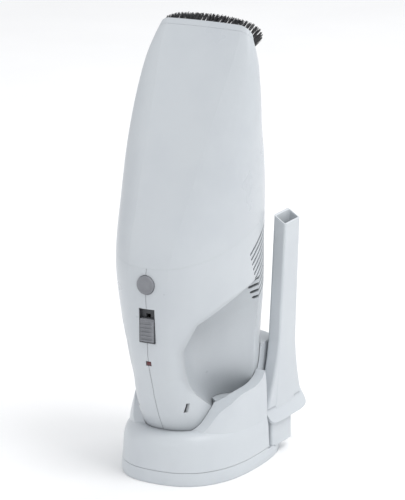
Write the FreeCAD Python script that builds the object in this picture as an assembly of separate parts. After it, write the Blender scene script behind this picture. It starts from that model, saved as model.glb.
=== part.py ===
"""Cordless handheld vacuum standing in its charging stand, with a nozzle brush and a crevice tool.

Millimetres. +Z is up, -Y is the side with the switch, and X = 0 is the vacuum's plane of symmetry.
The origin is the middle of the stand's underside.
"""
import FreeCAD, Part
import math
import os

V = FreeCAD.Vector

# ---- driving dimensions ------------------------------------------------------------------------
WALL = 2.2                    # moulded walls of the vacuum
STAND_WALL = 2.4
SHELL_GAP = 0.15              # half of the joint line between the two housing halves
FIT = 0.35                    # clearance between bodies that move apart

SEAM_POINT = V(0, -99, 197)   # dust bowl / housing joint, at the front
SEAM_TILT = 13.1              # degrees that the joint rises towards the back
MOUTH_POINT = V(0, 2, 388)    # front edge of the nozzle mouth
MOUTH_TILT = 60.0             # degrees between the mouth plane and the horizontal
BRUSH_RING = 4.2              # thickness of the brush frame, along the mouth's normal
BRISTLE_LENGTH = 9.8

# z, half-width, y front, y back, exponent, skew to the back, crease x, share of natural bulge
HULL = (
    (62.0, 27, -56, 36, 2.2, 0.17, 10, 1.0),
    (64.5, 35, -70, 44, 2.2, 0.17, 14, 1.0),
    (72.0, 41.5, -81.8, 52, 2.2, 0.17, 17, 1.0),
    (88.0, 45.4, -88.6, 58, 2.2, 0.157, 18, 1.0),
    (109.0, 46.6, -95.5, 62, 2.2, 0.119, 18, 1.0),
    (130.0, 49.5, -98.2, 63, 2.2, 0.07, 18, 1.0),
    (160.0, 53.5, -99.8, 63, 2.2, 0.02, 18, 1.0),
    (195.0, 55.2, -99.8, 59.5, 2.3, 0.0, 19, 1.0),
    (240.0, 57.2, -78.4, 47, 2.6, 0.0, 23, 0.7),
    (285.0, 57.8, -54.1, 31, 3.0, 0.0, 27.5, 0.45),
    (341.0, 55.3, -24.0, 18.5, 3.0, 0.0, 33, 0.35),
    (361.0, 52.0, -13.2, 17.0, 3.0, 0.0, 35.5, 0.35),
    (382.0, 45.0, -1.8, 16.5, 3.0, 0.0, 36, 0.35),
    (405.0, 35.0, 6.0, 18.0, 3.0, 0.0, 28, 0.35),
)
# z, half-width, y front, y back of the handle below the housing
HANDLE = (
    (30.0, 17, -52, -30),
    (32.5, 22, -57.5, -25),
    (38.0, 25.5, -64, -19.5),
    (48.0, 28.8, -71.3, -15),
    (60.0, 31.2, -78, -12),
    (72.0, 31.6, -83, -12),
    (88.0, 31.2, -88.0, -15),
    (100.0, 29.5, -91.0, -18),
    (112.0, 27.0, -92.5, -21),
)
HANDLE_POWER = 2.3

PIN_Y, PIN_XS = -41.0, (-8, 8)                 # the charging pins and the pads above them
PAD_X, PAD_Y0, PAD_Y1, PAD_TOP = 2.6, -44.5, -37.5, 32.8

BUTTON_Z, BUTTON_R = 183.0, 8.2
SWITCH_LOW, SWITCH_HIGH, SWITCH_WIDTH = 131.0, 161.5, 15.0
SLIDER_HEIGHT, SLIDER_TRAVEL = 20.5, 8.0
LED_Z = 112.0

MOTOR_Y, MOTOR_R, MOTOR_LOW, MOTOR_HIGH = 14.0, 18.5, 112.0, 166.0
SHAFT_R = 1.6
FAN_R, FAN_LOW, FAN_HIGH = 33.0, 180.0, 194.0
SHROUD_R, SHROUD_LOW, SHROUD_HIGH = 37.0, 176.0, 198.0

CELL_R, CELL_LENGTH = 9.3, 42.0
PACK_LEAN = 18.0              # degrees that the battery pack leans with the handle
PACK_FOOT = V(0, -51, 46.5)   # lower end of the front column's axis

COVER_TOP = 12.0
DECK_Z = 45.0
NICHE_X, NICHE_Y = 41.3, 20.5

TOOL_LEAN = 2.2
TOOL_X, TOOL_Y, TOOL_Z = 48.0, 57.5, 45.0      # a point on the crevice tool's centre line
TOOL_TIP = 219.0
POST_X0, POST_X1, POST_Y0, POST_Y1 = 44.7, 56.3, 27.0, 66.0
POST_LOW, POST_TOP = 8.0, 50.0

# weights tell how far each point of the finger recess follows its front edge
RECESS_OUTLINE = ((58, -96, 1.0), (27, -80, 1.0), (17.5, -66, 1.0), (14.5, -47, 0.85), (18, -26, 0.55),
                  (29, -6, 0.35), (44, 9, 0.2), (70, 22, 0.1))
RECESS_SHIFT = ((36, 5, 58), (55, 5, 45), (71, 4, 27), (88, 1, 9), (109, 0, 0), (126, -2, -2),
                (145, 2, -5), (180, 4, -8))
RECESS_OUTER = 90.0
RECESS_CEILING = (136.2, 0.636, 0.182)          # height at the axis, rise outwards, rise backwards
# a plane that softens the recess's upper front corner: a point on it and the way it faces
RECESS_CORNER, RECESS_CORNER_NORMAL = (31.2, -77.6, 136.1), (-1.33, -0.75, 0.83)
VENT_COUNT, VENT_PITCH, VENT_WIDTH, VENT_RISE = 10, 5.0, 2.4, 28.0
VENT_START_Y, VENT_START_Z, VENT_STEP_Y, VENT_END_Y = 8.0, 150.0, -2.5, 37.0
SCREW_PLACES = ((-70, 145), (30, 92), (44, 148), (-20, 170))     # y, z of the housing screws
BOSS_R, SCREW_R, SCREW_HEAD_R = 4.2, 1.5, 3.0
DUCT_END_Z, DUCT_END_Y = 330.0, -6.0
CATCH_LOW = 200.0              # underside of the rib that the latch hooks over
FILTER_HEIGHT = 18.0
FILTER_MIDDLE = 78.0           # distance of its centre from the front of the joint
# z, half-width, y front, y back, exponent
STAND_BASE = ((0, 58, -85, 85, 2.5), (12, 57.8, -84.7, 84.7, 2.5), (30, 56.8, -83.2, 83.4, 2.5),
              (37, 55.6, -81.6, 82.4, 2.5), (41.5, 53.2, -78.6, 80.5, 2.5), (44.2, 49.8, -74.5, 77, 2.5),
              (DECK_Z, 45.5, -69.5, 73, 2.5))
STAND_CRADLE = ((36, 55.2, -72, 82.0, 2.7), (60, 54.4, -60, 79.5, 2.8), (78, 53.0, -48, 77.5, 2.8),
                (103, 47, -40, 74, 2.8))
# y, z of the cradle's rim, from the deck at the front to the top of the back wall
RIM = ((-100, 36), (-76, 39), (-66, 42), (-58, 47.5), (-46, 59), (-34, 65), (-20, 70.5), (-6, 72),
       (8, 74), (20, 81), (27, 91), (33, 98), (45, 100.5), (70, 100.5), (100, 100.5))
INLET_Z, INLET_R = 24.0, 4.0
POST_R = 3.8
STAND_SCREW_PLACES = ((-38, -48), (38, -48), (-38, 52), (30, 52))
FEET_PLACES = ((-34, -60), (34, -60), (-34, 62), (30, 62))
COVER_FLOOR = 2.4
FOOT_R, FOOT_DEPTH = 6.0, 1.4
POST_SCREW = (50.5, 44)
FLANGE_HIGH, FLANGE_LOW = V(43.9, 0, 57.0), V(59.6, 0, 30.5)
FLANGE_HALF = 35.5
FLANGE_THICK = 2.4

SEAM_N = V(0, -math.sin(math.radians(SEAM_TILT)), math.cos(math.radians(SEAM_TILT)))
MOUTH_N = V(0, math.sin(math.radians(MOUTH_TILT)), math.cos(math.radians(MOUTH_TILT)))
SIDE_POINTS = 16


# ---- small helpers -----------------------------------------------------------------------------
def box(x0, x1, y0, y1, z0, z1):
    """A box between two corners."""
    return Part.makeBox(x1 - x0, y1 - y0, z1 - z0, V(x0, y0, z0))


def cylinder(radius, length, base, axis=V(0, 0, 1)):
    """A cylinder from its base point along an axis."""
    return Part.makeCylinder(radius, length, base, axis)


def mirrored(shape):
    """The shape on the other side of the plane of symmetry."""
    return shape.mirror(V(0, 0, 0), V(1, 0, 0))


def fuse(shapes):
    """One shape from several that touch or overlap."""
    joined = shapes[0]
    for other in shapes[1:]:
        joined = joined.fuse(other)
    return joined.removeSplitter()


def half_space(point, normal, size=600.0):
    """A block on the side of a plane that its normal points to."""
    block = Part.makeBox(size, size, size, V(-size / 2, -size / 2, 0))
    turn = FreeCAD.Rotation(V(0, 0, 1), normal)
    block.Placement = FreeCAD.Placement(point, turn)
    return block


def slab(point, normal, low, high):
    """Everything between two parallel planes, given by their offsets along the normal."""
    return half_space(point + normal * low, normal).cut(half_space(point + normal * high, normal))


def power(value, exponent):
    """Signed power, for superellipse coordinates."""
    return math.copysign(abs(value) ** exponent, value)


def oval_wire(centre, across, along, half_across, half_along, exponent, count=20):
    """A closed superellipse in the plane of two unit vectors."""
    points = []
    for i in range(count):
        angle = 2 * math.pi * i / count
        x = half_across * power(math.cos(angle), 2 / exponent)
        y = half_along * power(math.sin(angle), 2 / exponent)
        points.append(centre + across * x + along * y)
    curve = Part.BSplineCurve()
    curve.interpolate(points, True)
    return Part.Wire([curve.toShape()])


def level_oval(z, half_x, y0, y1, exponent):
    """A horizontal superellipse between two Y values."""
    return oval_wire(V(0, (y0 + y1) / 2, z), V(1, 0, 0), V(0, 1, 0), half_x, (y1 - y0) / 2, exponent)


def prism(wire, direction):
    """The solid swept by a plane outline."""
    return Part.Face(wire).extrude(direction)


def ribbed_box(x0, x1, y0, y1, z0, z1, radius):
    """A box with its upright edges rounded."""
    body = box(x0, x1, y0, y1, z0, z1)
    upright = [e for e in body.Edges if abs(e.tangentAt(e.FirstParameter).z) > 0.9]
    return body.makeFillet(radius, upright)


# ---- outer form of the vacuum ------------------------------------------------------------------
def hull_section(row, inset):
    """One level of the hull: a shallow front arc between two creases, and the rest of the oval."""
    z, half, front, back, exponent, skew, crease, bulge = row
    half, front, back = half - inset, front + inset, back - inset
    crease *= half / (half + inset)
    middle, depth = (front + back) / 2, (back - front) / 2

    def at(angle):
        t = power(math.sin(angle), 2 / exponent)
        return V(half * (1 + skew * t) * power(math.cos(angle), 2 / exponent), middle + depth * t, z)

    low, high = -math.pi / 2, 0.0
    for _ in range(50):
        guess = (low + high) / 2
        if at(guess).x < crease:
            low = guess
        else:
            high = guess
    start = low
    sweep = math.pi - 2 * start
    points = [at(start + sweep * i / SIDE_POINTS) for i in range(SIDE_POINTS + 1)]
    side = Part.BSplineCurve()
    side.interpolate(points)
    nose = V(0, points[0].y - bulge * (points[0].y - front), z)
    front_arc = Part.Arc(points[-1], nose, points[0])
    return Part.Wire([front_arc.toShape(), side.toShape()])


def hull(inset, lowest=0):
    """The whole hull, from under the motor to beyond the mouth, with its surface moved inwards."""
    rows = list(HULL[lowest:])
    if inset:
        first = list(rows[0])
        first[0] += inset
        rows[0] = tuple(first)
    return Part.makeLoft([hull_section(row, inset) for row in rows], True, False)


def handle(inset):
    """The lower end of the handle, below the housing."""
    wires = []
    for i, (z, half, front, back) in enumerate(HANDLE):
        level = z + inset if i == 0 else z
        wires.append(level_oval(level, half - inset, front + inset, back - inset, HANDLE_POWER))
    return Part.makeLoft(wires, True, False)


def finger_recess(grow):
    """The scooped hollow on the +X side, behind the grip; grow makes it larger all round."""
    wires = []
    for z, dx, dy in RECESS_SHIFT:
        points = [V(x + dx * w - grow, y + dy * w - grow * (1 - 2 * i / 7), z)
                  for i, (x, y, w) in enumerate(RECESS_OUTLINE)]
        inner = Part.BSplineCurve()
        inner.interpolate(points)
        far_back = V(RECESS_OUTER, points[-1].y, z)
        far_front = V(RECESS_OUTER, points[0].y, z)
        wires.append(Part.Wire([inner.toShape(), Part.LineSegment(points[-1], far_back).toShape(),
                                Part.LineSegment(far_back, far_front).toShape(),
                                Part.LineSegment(far_front, points[0]).toShape()]))
    scoop = Part.makeLoft(wires, True, False)
    base, outwards, backwards = RECESS_CEILING
    normal = V(-outwards, -backwards, 1)
    normal.normalize()
    scoop = scoop.cut(half_space(V(0, 0, base + grow * 1.2), normal))
    corner = V(*RECESS_CORNER_NORMAL)
    corner.normalize()
    return scoop.cut(half_space(V(*RECESS_CORNER) + corner * (grow * 1.2), corner))


def vacuum_solid(inset):
    """Hull and handle together with both finger recesses cut, moved inwards by inset."""
    body = hull(inset).fuse(handle(inset))
    for scoop in (finger_recess(inset), mirrored(finger_recess(inset))):
        body = body.cut(scoop)
    return body


# ---- housing -----------------------------------------------------------------------------------


def vent_slots():
    """Ten parallel slots through the +X wall of the motor housing, rising to the back."""
    slots = []
    for i in range(VENT_COUNT):
        y = VENT_START_Y + VENT_STEP_Y * i
        z = VENT_START_Z + VENT_PITCH * i
        length = (VENT_END_Y - y) / math.cos(math.radians(VENT_RISE))
        slot = ribbed_slot(length)
        turn = FreeCAD.Rotation(V(1, 0, 0), VENT_RISE)
        slot.Placement = FreeCAD.Placement(V(0, y, z), turn)
        slots.append(slot)
    return slots


def ribbed_slot(length):
    """A slot cutter along +Y, with round ends."""
    r = VENT_WIDTH / 2
    bar = box(36, 62, r, length - r, -r, r)
    ends = [cylinder(r, 26, V(36, y, 0), V(1, 0, 0)) for y in (r, length - r)]
    return fuse([bar] + ends)


def strap_slot():
    """The small upright slot on the handle's +X flank."""
    return box(17, 34, -73.0, -70.2, 64.5, 73)


def front_openings():
    """Button hole, switch slot and lamp window, cut from the front wall."""
    return [cylinder(BUTTON_R + 0.25, 14, V(0, -104, BUTTON_Z), V(0, 1, 0)),
            box(-SWITCH_WIDTH / 2, SWITCH_WIDTH / 2, -104, -90, SWITCH_LOW, SWITCH_HIGH),
            ribbed_box(-2.6, 2.6, -104, -88, LED_Z - 2.1, LED_Z + 2.1, 0.5)]


def pad_pockets():
    """Where the charge contacts sit in the end of the handle."""
    return [box(x - PAD_X, x + PAD_X, PAD_Y0, PAD_Y1, 29, PAD_TOP) for x in PIN_XS]


def housing_halves(outer, inner):
    """The two moulded halves of the motor housing and handle."""
    under_seam = slab(SEAM_POINT, SEAM_N, -400, 0)
    wall = outer.common(under_seam).cut(inner)
    wall = wall.cut(front_openings() + pad_pockets())
    right = wall.common(box(SHELL_GAP, 90, -130, 110, 0, 300))
    right = right.cut(vent_slots() + [strap_slot()])
    core = vacuum_solid(WALL / 2).common(slab(SEAM_POINT, SEAM_N, -400, -6))
    for y, z in SCREW_PLACES:
        boss = cylinder(BOSS_R, 90, V(SHELL_GAP, y, z), V(1, 0, 0))
        right = right.fuse(boss.common(core))
    left = mirrored(right)
    for y, z in SCREW_PLACES:
        right = right.cut(cylinder(SCREW_R, 14, V(0, y, z), V(1, 0, 0)))
        left = left.cut(cylinder(SCREW_R + 0.2, 90, V(-90, y, z), V(1, 0, 0)))
        left = left.cut(cylinder(SCREW_HEAD_R + 0.3, 80, V(-88, y, z), V(1, 0, 0)))
    return left, right


def housing_screws():
    """Four self-tapping screws that hold the halves together, entered from the -X side."""
    screws = []
    for y, z in SCREW_PLACES:
        shank = cylinder(SCREW_R, 20, V(-8, y, z), V(1, 0, 0))
        head = cylinder(SCREW_HEAD_R, 2.4, V(-10.4, y, z), V(1, 0, 0))
        slot = box(-10.5, -9.2, y - 2.2, y + 2.2, z - 0.4, z + 0.4)
        screws.append(shank.fuse(head).cut(slot).cut(slot.copy()))
    return Part.makeCompound(screws)


def intake_grille(inner):
    """The plate across the top of the housing that the filter seals against."""
    plate = inner.common(slab(SEAM_POINT, SEAM_N, -3.0, -0.6))
    centre = V(0, MOTOR_Y, SEAM_POINT.z + math.tan(math.radians(SEAM_TILT)) * (MOTOR_Y - SEAM_POINT.y))
    holes = []
    for ring, (radius, count) in enumerate(((9, 6), (18, 12), (27, 18))):
        for i in range(count):
            angle = 2 * math.pi * (i + 0.5 * ring) / count
            foot = centre + V(radius * math.cos(angle), radius * math.sin(angle), -25)
            holes.append(cylinder(3.0, 50, foot))
    return plate.cut(holes + [latch_notch()])


def bowl_seal():
    """The rubber ring in the joint between housing and bowl."""
    ring = hull(WALL + FIT).common(slab(SEAM_POINT, SEAM_N, -0.6, 1.0))
    core = hull(WALL + 4.5).common(slab(SEAM_POINT, SEAM_N, -5, 5))
    return ring.cut([core, latch_notch()])


def latch_notch():
    """Where the latch passes through the grille and the seal."""
    return box(-7.6, 7.6, -92.6, -84, 190, 206)


# ---- working parts inside the housing ----------------------------------------------------------
def motor_can():
    """The motor's steel can with its end cap and terminals."""
    bore = cylinder(SHAFT_R + 0.05, 90, V(0, MOTOR_Y, MOTOR_LOW - 10))
    can = cylinder(MOTOR_R, MOTOR_HIGH - MOTOR_LOW, V(0, MOTOR_Y, MOTOR_LOW))
    can = can.makeFillet(1.5, [e for e in can.Edges if e.Closed])
    neck = cylinder(6.5, 3, V(0, MOTOR_Y, MOTOR_HIGH))
    cap = cylinder(5.5, 2.5, V(0, MOTOR_Y, MOTOR_LOW - 2.5))
    tabs = [box(x - 0.4, x + 0.4, MOTOR_Y + 9, MOTOR_Y + 12, MOTOR_LOW - 7, MOTOR_LOW + 1) for x in (-7, 7)]
    return fuse([can, neck, cap] + tabs).cut(bore)


def motor_mount():
    """The ring that holds the motor and carries the fan shroud."""
    ring = cylinder(MOTOR_R + 5, 7, V(0, MOTOR_Y, MOTOR_HIGH - 12))
    ring = ring.cut(cylinder(MOTOR_R, 9, V(0, MOTOR_Y, MOTOR_HIGH - 13)))
    arms = []
    for angle in (0, 90, 180, 270):
        arm = box(MOTOR_R + 2, MOTOR_R + 10, -3, 3, MOTOR_HIGH - 12, SHROUD_LOW)
        arm.rotate(V(0, 0, 0), V(0, 0, 1), angle)
        arm.translate(V(0, MOTOR_Y, 0))
        arms.append(arm)
    return fuse([ring] + arms)


def motor_shaft():
    """The shaft through the motor and into the impeller."""
    return cylinder(SHAFT_R, FAN_HIGH - MOTOR_LOW + 4, V(0, MOTOR_Y, MOTOR_LOW - 5))


def fan_impeller():
    """A backward-curved centrifugal impeller."""
    disc = cylinder(FAN_R, 1.6, V(0, MOTOR_Y, FAN_LOW))
    hub = cylinder(6, FAN_HIGH - FAN_LOW, V(0, MOTOR_Y, FAN_LOW))
    blades = []
    for i in range(9):
        outer = Part.makeCylinder(22, 11, V(19, 9, FAN_LOW), V(0, 0, 1), 80)
        inner = Part.makeCylinder(20.6, 13, V(19, 9, FAN_LOW - 1), V(0, 0, 1), 360)
        blade = outer.cut(inner)
        blade.rotate(V(19, 9, 0), V(0, 0, 1), 150)
        blade = blade.common(cylinder(FAN_R, 20, V(0, 0, FAN_LOW)))
        blade.rotate(V(0, 0, 0), V(0, 0, 1), 40 * i)
        blade.translate(V(0, MOTOR_Y, 0))
        blades.append(blade)
    bore = cylinder(SHAFT_R, 40, V(0, MOTOR_Y, FAN_LOW - 10))
    return fuse([disc, hub] + blades).cut(bore)


def fan_shroud():
    """The cover round the impeller: an eye above and outlet windows round the rim."""
    drum = cylinder(SHROUD_R, SHROUD_HIGH - SHROUD_LOW, V(0, MOTOR_Y, SHROUD_LOW))
    hollow = cylinder(SHROUD_R - 1.8, SHROUD_HIGH - SHROUD_LOW - 3.2, V(0, MOTOR_Y, SHROUD_LOW + 1.6))
    drum = drum.cut(hollow)
    drum = drum.cut(cylinder(14, 10, V(0, MOTOR_Y, SHROUD_HIGH - 6)))
    drum = drum.cut(cylinder(8, 10, V(0, MOTOR_Y, SHROUD_LOW - 5)))
    for i in range(10):
        window = box(SHROUD_R - 6, SHROUD_R + 4, -7, 7, SHROUD_LOW + 4, SHROUD_HIGH - 5)
        window.rotate(V(0, 0, 0), V(0, 0, 1), 36 * i)
        window.translate(V(0, MOTOR_Y, 0))
        drum = drum.cut(window)
    return drum


def pack_axis():
    """Direction in which the battery pack leans."""
    lean = math.radians(PACK_LEAN)
    return V(0, -math.sin(lean), math.cos(lean))


def battery_cells():
    """Four cells: two columns of two, leaning with the handle."""
    axis = pack_axis()
    back = V(0, axis.z, -axis.y)
    cells = []
    for column in (0, 1):
        for level in (0, 1):
            foot = PACK_FOOT + back * (column * (2 * CELL_R + 1)) + axis * (level * (CELL_LENGTH + 2.5))
            can = cylinder(CELL_R, CELL_LENGTH, foot, axis)
            can = can.makeFillet(1.0, [e for e in can.Edges if e.Closed])
            cells.append(can.fuse(cylinder(4, 1.2, foot + axis * CELL_LENGTH, axis)))
    return Part.makeCompound(cells)


def battery_holder(cells):
    """The cradle between the cells, with a shelf at each end of a column."""
    axis = pack_axis()
    back = V(0, axis.z, -axis.y)
    turn = FreeCAD.Rotation(V(1, 0, 0), PACK_LEAN)
    frame = []
    levels = (-2.2, CELL_LENGTH + 1.3, 2 * CELL_LENGTH + 3.8)
    for level in levels:
        shelf = Part.makeBox(22, 4 * CELL_R + 1, 1.1, V(-11, -CELL_R, 0))
        shelf.Placement = FreeCAD.Placement(PACK_FOOT + axis * level, turn)
        frame.append(shelf)
    web = Part.makeBox(22, 0.8, levels[-1] - levels[0], V(-11, CELL_R + 0.1, 0))
    web.Placement = FreeCAD.Placement(PACK_FOOT + axis * levels[0], turn)
    return fuse(frame + [web]).cut(cells)


def charge_contacts():
    """Two plated pads under the end of the handle, with their risers."""
    pads = []
    for x in PIN_XS:
        pad = box(x - PAD_X, x + PAD_X, PAD_Y0, PAD_Y1, 30.0, PAD_TOP)
        riser = box(x - 1.2, x + 1.2, PIN_Y - 1, PIN_Y + 1, PAD_TOP, 41)
        pads.append(fuse([pad, riser]))
    return Part.makeCompound(pads)


def switch_bezel():
    """The dark tray that the power slider runs in, flush with the housing's front."""
    gap = 0.05
    tray = box(-SWITCH_WIDTH / 2 + gap, SWITCH_WIDTH / 2 - gap, -98.6, -92.4,
               SWITCH_LOW + gap, SWITCH_HIGH - gap)
    pocket = box(-6.9, 6.9, -100, -95.6, SWITCH_LOW + 0.8, SWITCH_HIGH - 0.8)
    track = box(-2.2, 2.2, -96, -92, SWITCH_LOW + 4, SWITCH_HIGH - 5)
    return tray.cut(pocket).cut(track)


def power_slider():
    """The ribbed thumb slider, at its lower, off position, with a stem to the switch."""
    low = SWITCH_LOW + 1.0
    body = box(-6.6, 6.6, -100.6, -95.9, low, low + SLIDER_HEIGHT)
    for i in range(6):
        z = low + 2.6 + 3.0 * i
        body = body.cut(box(-7, 7, -101, -99.6, z, z + 1.4))
    stem = box(-1.8, 1.8, -96, -90.2, low + 5, low + 12)
    return fuse([body, stem])


def switch_block():
    """The slide switch behind the tray, on its two mounting ears."""
    low = SWITCH_LOW + 2
    body = box(-6, 6, -91.8, -82, low, low + 26)
    body = body.cut(box(-2.3, 2.3, -92.5, -88.5, low + 3, low + 22))
    ears = [box(-4, 4, -91.8, -90, low - 4, low + 1), box(-4, 4, -91.8, -90, low + 25, low + 29.5)]
    pins = [box(x - 0.4, x + 0.4, -82, -78.5, low + 11, low + 13) for x in (-3.5, 0, 3.5)]
    return fuse([body] + ears + pins)


def led_lens():
    """The small lamp window."""
    return ribbed_box(-2.5, 2.5, -95.9, -91.5, LED_Z - 2.0, LED_Z + 2.0, 0.45)


def led_board():
    """The strip of circuit board with the lamp, behind the window."""
    board = box(-6, 6, -90.2, -88.8, LED_Z - 8, LED_Z + 9)
    lamp = cylinder(1.4, 1.3, V(0, -91.5, LED_Z), V(0, 1, 0))
    part = cylinder(1.6, 3.5, V(-3, -88.8, LED_Z + 6), V(0, 1, 0))
    return fuse([board, lamp, part])


# ---- bowl release ------------------------------------------------------------------------------
def release_button():
    """The round release button and its stem."""
    cap = cylinder(BUTTON_R, 8, V(0, -102.3, BUTTON_Z), V(0, 1, 0))
    front = [e for e in cap.Edges if e.Closed and e.CenterOfMass.y < -102]
    cap = cap.makeFillet(1.0, front)
    return fuse([cap, cylinder(3.5, 4.5, V(0, -94.4, BUTTON_Z), V(0, 1, 0))])


def bowl_latch():
    """The latch arm behind the button, with its hook over the bowl's front lip."""
    plate = box(-7, 7, -89.6, -87.8, BUTTON_Z - 7, BUTTON_Z + 20)
    hook = box(-6, 6, -92.0, -87.8, BUTTON_Z + 17.4, BUTTON_Z + 20)
    return fuse([plate, hook])


def release_spring():
    """The coil spring that returns the latch, as one closed sleeve."""
    ring = cylinder(3.2, 9.2, V(0, -87.6, BUTTON_Z), V(0, 1, 0))
    return ring.cut(cylinder(2.0, 11, V(0, -88.5, BUTTON_Z), V(0, 1, 0)))


def spring_seat(inner):
    """The cross bar, held between the housing walls, that the return spring bears on."""
    bar = box(-70, 70, -78.2, -76.2, BUTTON_Z - 5, BUTTON_Z + 5).common(inner)
    return bar.fuse(cylinder(1.7, 4, V(0, -82, BUTTON_Z), V(0, 1, 0))).removeSplitter()


# ---- dust bowl, filter and nozzle --------------------------------------------------------------
def mouth_oval(offset, half_x, half_v, exponent=2.6, shift=0.0):
    """An oval in a plane parallel to the mouth, offset along the mouth's normal."""
    down = V(0, MOUTH_N.z, -MOUTH_N.y)
    centre = MOUTH_POINT + down * (15.0 + shift) + MOUTH_N * offset
    return oval_wire(centre, V(1, 0, 0), down, half_x, half_v, exponent)


def dust_bowl(outer, inner):
    """The bowl: the upper hull, open at the joint and at the mouth."""
    between = slab(SEAM_POINT, SEAM_N, 0, 400).cut(half_space(MOUTH_POINT, MOUTH_N))
    catch = box(-8, 8, -101, -93.3, CATCH_LOW, CATCH_LOW + 2).common(hull(WALL / 2))
    return outer.common(between).cut(inner).fuse(catch)


def duct_form(inset):
    """The inlet passage from the mouth to the flap, as a solid."""
    top = mouth_oval(-1.6, 36 - inset, 9.8 - inset, shift=-1.0)
    low = oval_wire(V(0, DUCT_END_Y, DUCT_END_Z), V(1, 0, 0), V(0, -1, 0), 25 - inset, 8.0 - inset, 2.6)
    return Part.makeLoft([low, top], True, True)


def inlet_duct(inner):
    """The passage behind the mouth, with the flange that closes the bowl round it."""
    flange = inner.common(slab(MOUTH_POINT, MOUTH_N, -5.0, -2.6))
    tube = duct_form(0).cut(half_space(MOUTH_POINT + MOUTH_N * -2.6, MOUTH_N))
    hollow = duct_form(1.5)
    ears = [box(x, x + 3, DUCT_END_Y + 5, DUCT_END_Y + 13.8, DUCT_END_Z + 0.4, DUCT_END_Z + 6)
            for x in (-25, 22)]
    pivot = FLAP_PIVOT
    body = fuse([flange, tube] + ears).cut(hollow)
    return body.cut(cylinder(1.0, 80, V(-40, pivot.y, pivot.z), V(1, 0, 0)))


FLAP_PIVOT = V(0, DUCT_END_Y + 11.4, DUCT_END_Z + 2.4)


def inlet_flap():
    """The rubber flap under the passage that keeps the dust in, on its pivot rod."""
    leaf = box(-24, 24, DUCT_END_Y - 9, FLAP_PIVOT.y, DUCT_END_Z - 2.0, DUCT_END_Z - 0.4)
    knuckle = box(-21, 21, FLAP_PIVOT.y - 1.4, FLAP_PIVOT.y + 1.4, DUCT_END_Z - 2.0, FLAP_PIVOT.z + 1.2)
    rod = cylinder(0.95, 50, V(-25, FLAP_PIVOT.y, FLAP_PIVOT.z), V(1, 0, 0))
    return fuse([leaf, knuckle, rod])


def filter_outline(offset, half_x, half_y):
    """An oval parallel to the joint plane."""
    back = V(0, SEAM_N.z, -SEAM_N.y)
    centre = SEAM_POINT + back * FILTER_MIDDLE + SEAM_N * offset
    return oval_wire(centre, V(1, 0, 0), back, half_x, half_y, 2.4)


def filter_frame():
    """The filter's rim and cup wall."""
    rim = prism(filter_outline(1.2, 48, 58), SEAM_N * 2.4)
    wall = prism(filter_outline(1.2, 42, 52), SEAM_N * 8)
    body = fuse([rim, wall])
    body = body.cut(prism(filter_outline(0, 40, 50), SEAM_N * 20))
    tab = filter_outline(1.2, 40.6, 50.6)
    bar = prism(tab, SEAM_N * 2).common(box(-2, 2, -200, 100, 100, 300))
    cross = prism(tab, SEAM_N * 2).common(box(-60, 60, -26, -22, 100, 300))
    return fuse([body, bar, cross])


def filter_pleats():
    """The pleated paper: a block with a row of V folds across its far side."""
    block = prism(filter_outline(3.4, 36, 42), SEAM_N * (FILTER_HEIGHT - 7))
    back = V(0, SEAM_N.z, -SEAM_N.y)
    top = SEAM_POINT + SEAM_N * (FILTER_HEIGHT - 3.5)
    grooves = []
    for i in range(9):
        middle = top + back * (FILTER_MIDDLE + 9.2 * (i - 4))
        corners = [middle + back * -3.4, middle + back * 3.4, middle - SEAM_N * 9]
        wire = Part.makePolygon(corners + [corners[0]])
        groove = Part.Face(wire).extrude(V(90, 0, 0))
        groove.translate(V(-45, 0, 0))
        grooves.append(groove)
    return block.cut(grooves)


def filter_screen():
    """The coarse screen over the pleats that stops lint and hair."""
    cap = Part.makeLoft([filter_outline(9.4, 42, 52), filter_outline(FILTER_HEIGHT, 38, 44)], True, True)
    inside = Part.makeLoft([filter_outline(9.3, 41, 51), filter_outline(FILTER_HEIGHT - 1.2, 37, 43)],
                           True, True)
    shell = cap.cut(inside)
    back = V(0, SEAM_N.z, -SEAM_N.y)
    holes = []
    for i in range(7):
        for j in range(5):
            foot = SEAM_POINT + back * (FILTER_MIDDLE + 10 * (i - 3)) + V(-24 + 12 * j, 0, 0)
            foot += SEAM_N * (FILTER_HEIGHT - 4)
            holes.append(cylinder(3.4, 6, foot, SEAM_N))
    return shell.cut(holes)


def brush_frame(outer):
    """The clip-on frame of the nozzle brush, flush with the bowl, and its collar."""
    ring = outer.common(slab(MOUTH_POINT, MOUTH_N, 0.1, BRUSH_RING))
    collar = prism(mouth_oval(-1.4, 37.6, 9.4, shift=-0.4), MOUTH_N * 3)
    return fuse([ring, collar]).cut(prism(mouth_oval(-10, 36.0, 8.0, shift=-0.4), MOUTH_N * 25))


def brush_bristles():
    """The bristles as one closed band round the brush frame."""
    top = BRUSH_RING + BRISTLE_LENGTH
    band = Part.makeLoft([mouth_oval(BRUSH_RING, 44.4, 14.0), mouth_oval(top, 46.2, 15.6)], True, True)
    return band.cut(Part.makeLoft([mouth_oval(BRUSH_RING - 1, 40.2, 10.4), mouth_oval(top + 1, 42.0, 12.0)],
                                  True, True))


# ---- charging stand ----------------------------------------------------------------------------


def stand_form(rows, inset, raise_by=0.0):
    """A stack of level ovals as one solid."""
    wires = [level_oval(z + raise_by, half - inset, front + inset, back - inset, exponent)
             for z, half, front, back, exponent in rows]
    return Part.makeLoft(wires, True, False)


def rim_cutter(drop):
    """Everything above the cradle's rim curve, lowered by drop."""
    curve = Part.BSplineCurve()
    curve.interpolate([V(-80, y, z - drop) for y, z in RIM])
    first, last = RIM[0], RIM[-1]
    corners = [V(-80, last[0], last[1] - drop), V(-80, last[0], 200), V(-80, first[0], 200),
               V(-80, first[0], first[1] - drop)]
    edges = [curve.toShape()] + [Part.LineSegment(a, b).toShape() for a, b in zip(corners, corners[1:])]
    return Part.Face(Part.Wire(edges)).extrude(V(160, 0, 0))


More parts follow.
